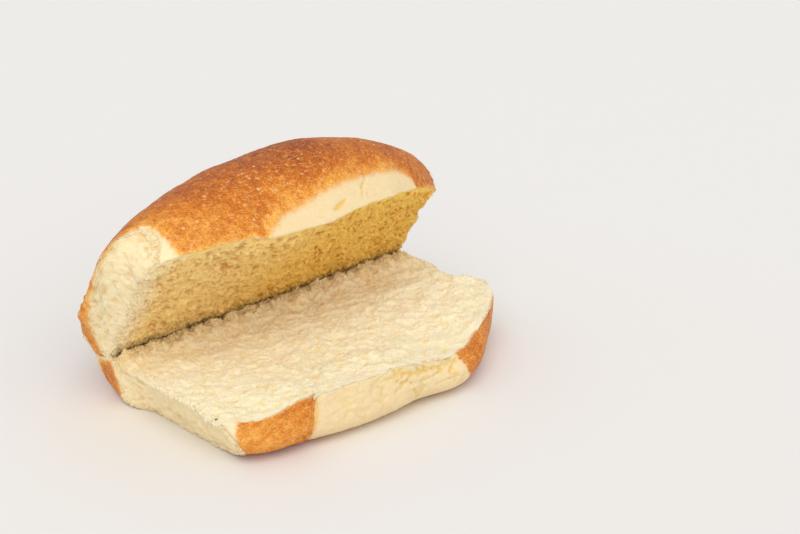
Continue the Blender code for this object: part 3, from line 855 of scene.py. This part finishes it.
def tufts(front, fromRim, fromEnds, onLid):  # how thickly ragged crumb stands up, as a share
    crease = smooth(1, 4, front) * (1 - smooth(7, 12, front)) * (0.5 if onLid else 1.0)
    edges = 1 - smooth(0.5, 3.0, fromEnds)
    everywhere = (0.4 if onLid else 0.3) * smooth(1.0, 5.0, fromRim)
    return np.clip(np.maximum(crease, edges) + everywhere, 0, 1)


tornMake = {
    "rays": 470, "steps": 120, "rayGap": 0.6, "inset": 0.35, "proud": 0.3, "depth": 3.0, "underside": 7,
    "foam": 0.75, "rindHeight": 31.2, "rindSlope": 0.13, "rindBack": 29.0, "scrapBack": 23.5,
    # The last value is how much of the crumb's painted shade colour the torn ends and the crust's bare
    # patches get.
    "rindBake": 0.56, "paintedShadeShare": 0.22,
}


def endOutline(end, startX):  # the skin's points round one torn end
    t = crowded(500)
    outline = []
    for isBack, dome, forward in ((False, True, 1), (True, True, 0), (True, False, 1), (False, False, 0)):
        x = np.full_like(t, startX)
        for _ in range(4):
            y, z = skinPoint(x, isBack, t, dome)
            x = endLimits(np.stack([x, y, z], -1), np.full(x.shape, dome))[end]
        leg = np.stack([x, y, z], -1)
        outline.append(leg if forward else leg[::-1])
    return np.concatenate(outline)


# Places on rays from the hinge: each one's half, its distance from the hinge and from the skin, and how far
# it is in front of the hinge.
def endGrid(end):
    make, cut = tornMake, rollForm["cutHeight"]
    startX = rollForm["endLeft"] if end == 0 else rollForm["endRight"]
    hubY = rollOpening["hingeY"] + startX * tan(radians(rollOpening["yaw"]))
    outline = endOutline(end, startX)
    around = np.arctan2(outline[:, 2] - cut, -(outline[:, 1] - hubY)) % (2 * pi)
    reach = np.hypot(outline[:, 2] - cut, outline[:, 1] - hubY)
    order = np.argsort(around)
    angles = np.linspace(radians(make["rayGap"]), 2 * pi - radians(make["rayGap"]), make["rays"])
    radius = np.interp(angles, around[order], reach[order], period=2 * pi) - make["inset"]
    share = np.linspace(0.01, 1, make["steps"])[None, :]
    r = radius[:, None] * share
    y = hubY - r * np.cos(angles)[:, None]
    z = cut + r * np.sin(angles)[:, None]
    x = np.full_like(y, startX)
    for _ in range(3):
        x = endLimits(np.stack([x, y, z], -1), z > cut)[end]
    onLid = np.broadcast_to((angles < pi)[:, None], y.shape)
    return np.stack([x, y, z], -1), onLid, r, radius[:, None] * (1 - share), hubY - y


def rindReach(face, y, z):  # distance inside the crust that is left over the tear and at its back
    make, cut = tornMake, rollForm["cutHeight"]
    over = z - make["rindHeight"] + make["rindSlope"] * y
    brownLid = np.maximum(over, y - make["rindBack"])
    brownBase = np.minimum(y - make["scrapBack"], cut - 2 - z)
    inside = np.where(z > cut, brownLid, brownBase)
    return inside + wobble(face, 1.3) + 0.9 * fractal(face, 1.1, 0.6, 2, 31.0)


def tornCorners(face, y, z, fromRim):  # drop of the outer corner, at the lid's patch and the base's front
    above = z[:, -1:] > rollForm["cutHeight"]
    patch = smooth(0, 0.6, tornPatch(face[:, -1:], above))
    rim = np.where(above, patch, atFront(y[:, -1:]) * smooth(0, 2, z[:, -1:]))
    return roundedDrop(fromRim, crustMake["corner"]) * rim


def makeTornEnd(name, end, material):
    make = tornMake
    sign = -1.0 if end == 0 else 1.0
    face, onLid, r, fromRim, ahead = endGrid(end)
    y, z = face[..., 1].copy(), face[..., 2].copy()
    half = np.where(z > rollForm["cutHeight"], 1, -1)
    fromCut = np.abs(z - rollForm["cutHeight"])
    parting = half * rollOpening["gap"] / 2 * smooth(0, 3, ahead)
    face[..., 2] += (rimmedLevel(face, fromRim) + parting) * (1 - smooth(0, 5, fromCut))
    inside = rindReach(face, y, z)
    rind = smooth(-0.6, 0.6, inside) * (end == 0)
    fade = np.maximum(calmed(fromCut), 1 - smooth(2, 6, r))
    depth = foam(face, make["foam"], 51 + end) * (1 - rind) * fade
    lumps = fractal(face, 7.0, 0.8, 3) * smooth(0, 4, fromRim) + 0.3 * fractal(face, 1.6, 0.5, 2, 9.0)
    rise = make["proud"] - depth + (1 - 0.7 * rind) * fade * lumps
    corner = roundedDrop(fromCut, crumbMake["rounding"][end]) * smooth(2, 10, r)
    if end == 0:
        corner = np.maximum(corner, tornCorners(face, y, z, fromRim))
    face[..., 0] += sign * (rise - corner)
    inward = np.zeros_like(face)
    inward[..., 0] = -sign * make["depth"]
    inward[..., 2] = half * make["depth"] * (1 - smooth(0, 5, fromCut)) * smooth(3, 10, r)
    turned = (lambda values: values[::-1]) if end == 0 else (lambda values: values)  # faces point outwards
    points, faces, picks = slab(turned(face), turned(inward), make["underside"])
    lidFlags = spread(turned(onLid), picks)
    edges = np.maximum(1 - smooth(0.5, 3.0, fromRim), bell(inside, 0, 2.0))
    tuft = np.clip(edges + 0.14, 0, 1) * (1 - rind)
    bake = make["rindBake"] * (0.5 + 0.5 * smooth(0, 4, inside))
    # pit is painted as shade in the pores; deep gives the whole torn face a little of the crumb's painted
    # shade colour.
    attributes = {"rest": points * mm, "pit": spread(turned(depth / make["foam"] / 1.2), picks),
                  "bare": spread(turned(1 - rind), picks), "bake": spread(turned(bake), picks),
                  "deep": np.full(len(points), make["paintedShadeShare"]), "tuft": spread(turned(tuft), picks, 0.0)}
    return finishMesh(name, opened(points, lidFlags) * mm, faces, material, attributes)


# Sizes in metres, and the number of shreds on a square metre where they stand thickest.
scatterMake = {
    "density": 3000000.0, "smallest": 0.0004, "largest": 0.0015, "sparse": 0.35, "seed": 5,
    "slim": (0.26, 0.42, 1.0), "uneven": 0.6, "shredSeed": 3.3,
}


def makeShred():  # one torn bit of crumb, as an uneven splinter pointed at both ends
    bm = bmesh.new()
    bmesh.ops.create_uvsphere(bm, u_segments=4, v_segments=2, radius=1.0)
    for vert in bm.verts:
        place = vert.co * 1.7 + Vector((scatterMake["shredSeed"],) * 3)
        lump = 1 + scatterMake["uneven"] * noise.noise(place)
        vert.co = Vector(a * b * lump for a, b in zip(vert.co, scatterMake["slim"]))
    mesh = bpy.data.meshes.new("shred")
    bm.to_mesh(mesh)
    bm.free()
    mesh.shade_smooth()
    return bpy.data.objects.new("shred", mesh)


def scatterTree():  # stands shreds on a surface, as thickly as its "tuft" attribute says
    tree = bpy.data.node_groups.new("crumbScatter", "GeometryNodeTree")
    face = tree.interface
    kinds = {"Geometry": "Geometry", "Shape": "Object", "Density": "Float", "Smallest": "Float",
             "Largest": "Float", "Seed": "Int", "Material": "Material"}
    keys = {name: face.new_socket(name, in_out="INPUT", socket_type="NodeSocket" + kind).identifier
            for name, kind in kinds.items()}
    face.new_socket("Geometry", in_out="OUTPUT", socket_type="NodeSocketGeometry")
    start = Wire(tree, None)
    given = start.make("NodeGroupInput", {}, {}, out=None).node
    value = {name: Wire(tree, given.outputs[name]) for name in kinds}
    share = start.make("GeometryNodeInputNamedAttribute", {"data_type": "FLOAT"}, {"Name": "tuft"})
    places = start.make("GeometryNodeDistributePointsOnFaces", {}, {
        "Mesh": value["Geometry"], "Density": share * value["Density"], "Seed": value["Seed"]})
    shape = start.make("GeometryNodeObjectInfo", {}, {"Object": value["Shape"]}, out="Geometry")
    turn = start.make("FunctionNodeRandomValue", {"data_type": "FLOAT_VECTOR"}, {
        0: (0.0, 0.0, 0.0), 1: (2 * pi,) * 3, "Seed": value["Seed"]})
    size = start.make("FunctionNodeRandomValue", {"data_type": "FLOAT"}, {
        2: value["Smallest"], 3: value["Largest"], "Seed": value["Seed"]}, out=1)
    copies = start.make("GeometryNodeInstanceOnPoints", {}, {
        "Points": places, "Instance": shape, "Rotation": turn,
        "Scale": size * (scatterMake["sparse"] + share * (1 - scatterMake["sparse"]))})
    real = start.make("GeometryNodeRealizeInstances", {}, {"Geometry": copies})
    dressed = start.make("GeometryNodeSetMaterial", {}, {"Geometry": real, "Material": value["Material"]})
    start.make("NodeGroupOutput", {}, {"Geometry": dressed}, out=None)
    return tree, keys


def scatterOn(surface, name, tree, keys, shred, material, seed):
    made = bpy.data.objects.new(name, surface.data.copy())
    bpy.context.scene.collection.objects.link(made)
    modifier = made.modifiers.new("scatter", "NODES")
    modifier.node_group = tree
    settings = {"Shape": shred, "Density": scatterMake["density"], "Smallest": scatterMake["smallest"],
                "Largest": scatterMake["largest"], "Seed": seed, "Material": material}
    for key, value in settings.items():
        modifier[keys[key]] = value
    graph = bpy.context.evaluated_depsgraph_get()
    mesh = bpy.data.meshes.new_from_object(made.evaluated_get(graph))
    made.modifiers.clear()
    made.data = mesh
    mesh.name = name
    places = np.empty(len(mesh.vertices) * 3, np.float32)
    mesh.vertices.foreach_get("co", places)
    mesh.vertices.foreach_set("co", np.clip(places.reshape(-1, 3), *cadBox).astype(np.float32).ravel())
    print(name, len(mesh.polygons), "faces")
    return made


bread = breadMaterial("softBread", 0.4)
torn = breadMaterial("tornBread", 0.0)  # a shred is too thin to scatter light inside
crust = makeCrust(bread)
print("crust made")
crumbBase = makeFace("crumbBase", False, bread)
crumbLid = makeFace("crumbLid", True, bread)
print("cut faces made")
tornLeft = makeTornEnd("tornLeft", 0, bread)
tornRight = makeTornEnd("tornRight", 1, bread)
print("torn ends made")
shred = makeShred()
tree, keys = scatterTree()
surfaces = {"tuftsBase": crumbBase, "tuftsLid": crumbLid, "tuftsLeft": tornLeft, "tuftsRight": tornRight}
ragged = [scatterOn(surface, name, tree, keys, shred, torn, scatterMake["seed"] + k)
          for k, (name, surface) in enumerate(surfaces.items())]
bpy.data.objects.remove(shred)
print("ragged crumb made")

for piece in (crust, crumbBase, crumbLid, tornLeft, tornRight, *ragged):
    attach(piece, "root")
    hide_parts("roll")


stageSet = {
    "floorSize": 6.0, "floorColour": (238, 236, 234), "floorRoughness": 0.7, "floorShine": 0.2,
    "skyColour": (255, 254, 252), "skyStrength": 0.68,
    "keyStrength": 1.58, "keySpread": 60.0, "keyAzimuth": -36.0, "keyHeight": 42.0,
}

viewSet = {
    "azimuth": -37.954, "elevation": 22.994, "aimX": 300.153, "aimY": 332.309, "aimHeight": 18.0,
    "lens": 80.0, "sensor": 36.0, "millimetresPerPixel": 0.39, "width": 800, "height": 534,
}


def makeFloor():
    bm = bmesh.new()
    bmesh.ops.create_grid(bm, x_segments=1, y_segments=1, size=stageSet["floorSize"] / 2)
    mesh = bpy.data.meshes.new("floor")
    bm.to_mesh(mesh)
    bm.free()
    material = bpy.data.materials.new("paleFloor")
    material.use_nodes = True
    shader = material.node_tree.nodes["Principled BSDF"]
    shader.inputs["Base Color"].default_value = paint(*stageSet["floorColour"])
    shader.inputs["Roughness"].default_value = stageSet["floorRoughness"]
    shader.inputs["Specular IOR Level"].default_value = stageSet["floorShine"]
    mesh.materials.append(material)
    floor = bpy.data.objects.new("floor", mesh)
    bpy.context.scene.collection.objects.link(floor)


def toward(azimuth, elevation):  # a direction, turned from the front to the left for a minus azimuth
    flat = cos(elevation)
    return Vector((sin(azimuth) * flat, -cos(azimuth) * flat, sin(elevation)))


def makeLight():
    world = bpy.data.worlds.new("studio")
    bpy.context.scene.world = world
    world.use_nodes = True
    background = world.node_tree.nodes["Background"]
    background.inputs["Color"].default_value = paint(*stageSet["skyColour"])
    background.inputs["Strength"].default_value = stageSet["skyStrength"]
    light = bpy.data.lights.new("keyLight", "SUN")
    light.energy, light.angle = stageSet["keyStrength"], radians(stageSet["keySpread"])
    lamp = bpy.data.objects.new("keyLight", light)
    away = toward(radians(stageSet["keyAzimuth"]), radians(stageSet["keyHeight"]))
    lamp.location = away
    lamp.rotation_euler = away.to_track_quat("Z", "Y").to_euler()
    bpy.context.scene.collection.objects.link(lamp)


def makeCamera():  # turned so that the aimed point falls at its own place in the frame
    view = viewSet
    focal = view["lens"] / view["sensor"] * view["width"]
    a, e = radians(view["azimuth"]), radians(view["elevation"])
    aim = Vector(rollOpening["centre"]) + Vector((0, 0, view["aimHeight"]))
    right = (view["aimX"] - view["width"] / 2) / focal
    up = (view["height"] / 2 - view["aimY"]) / focal
    size = hypot(hypot(right, up), 1.0)
    turn = a + asin(right / (size * cos(e)))
    level = cos(e) * cos(a - turn)
    rise = atan2(sin(e), level) + asin(up / (size * hypot(level, sin(e))))
    camera = bpy.data.cameras.new("camera")
    camera.lens, camera.sensor_width = view["lens"], view["sensor"]
    camera.clip_start, camera.clip_end = 0.01, 20.0
    eye = bpy.data.objects.new("camera", camera)
    eye.location = (aim + toward(a, e) * focal * view["millimetresPerPixel"]) * mm
    eye.rotation_euler = toward(turn, rise).to_track_quat("Z", "Y").to_euler()
    bpy.context.scene.collection.objects.link(eye)
    bpy.context.scene.camera = eye


makeFloor()
makeLight()
makeCamera()
bpy.context.scene.view_settings.view_transform = "Standard"
print("stage set")
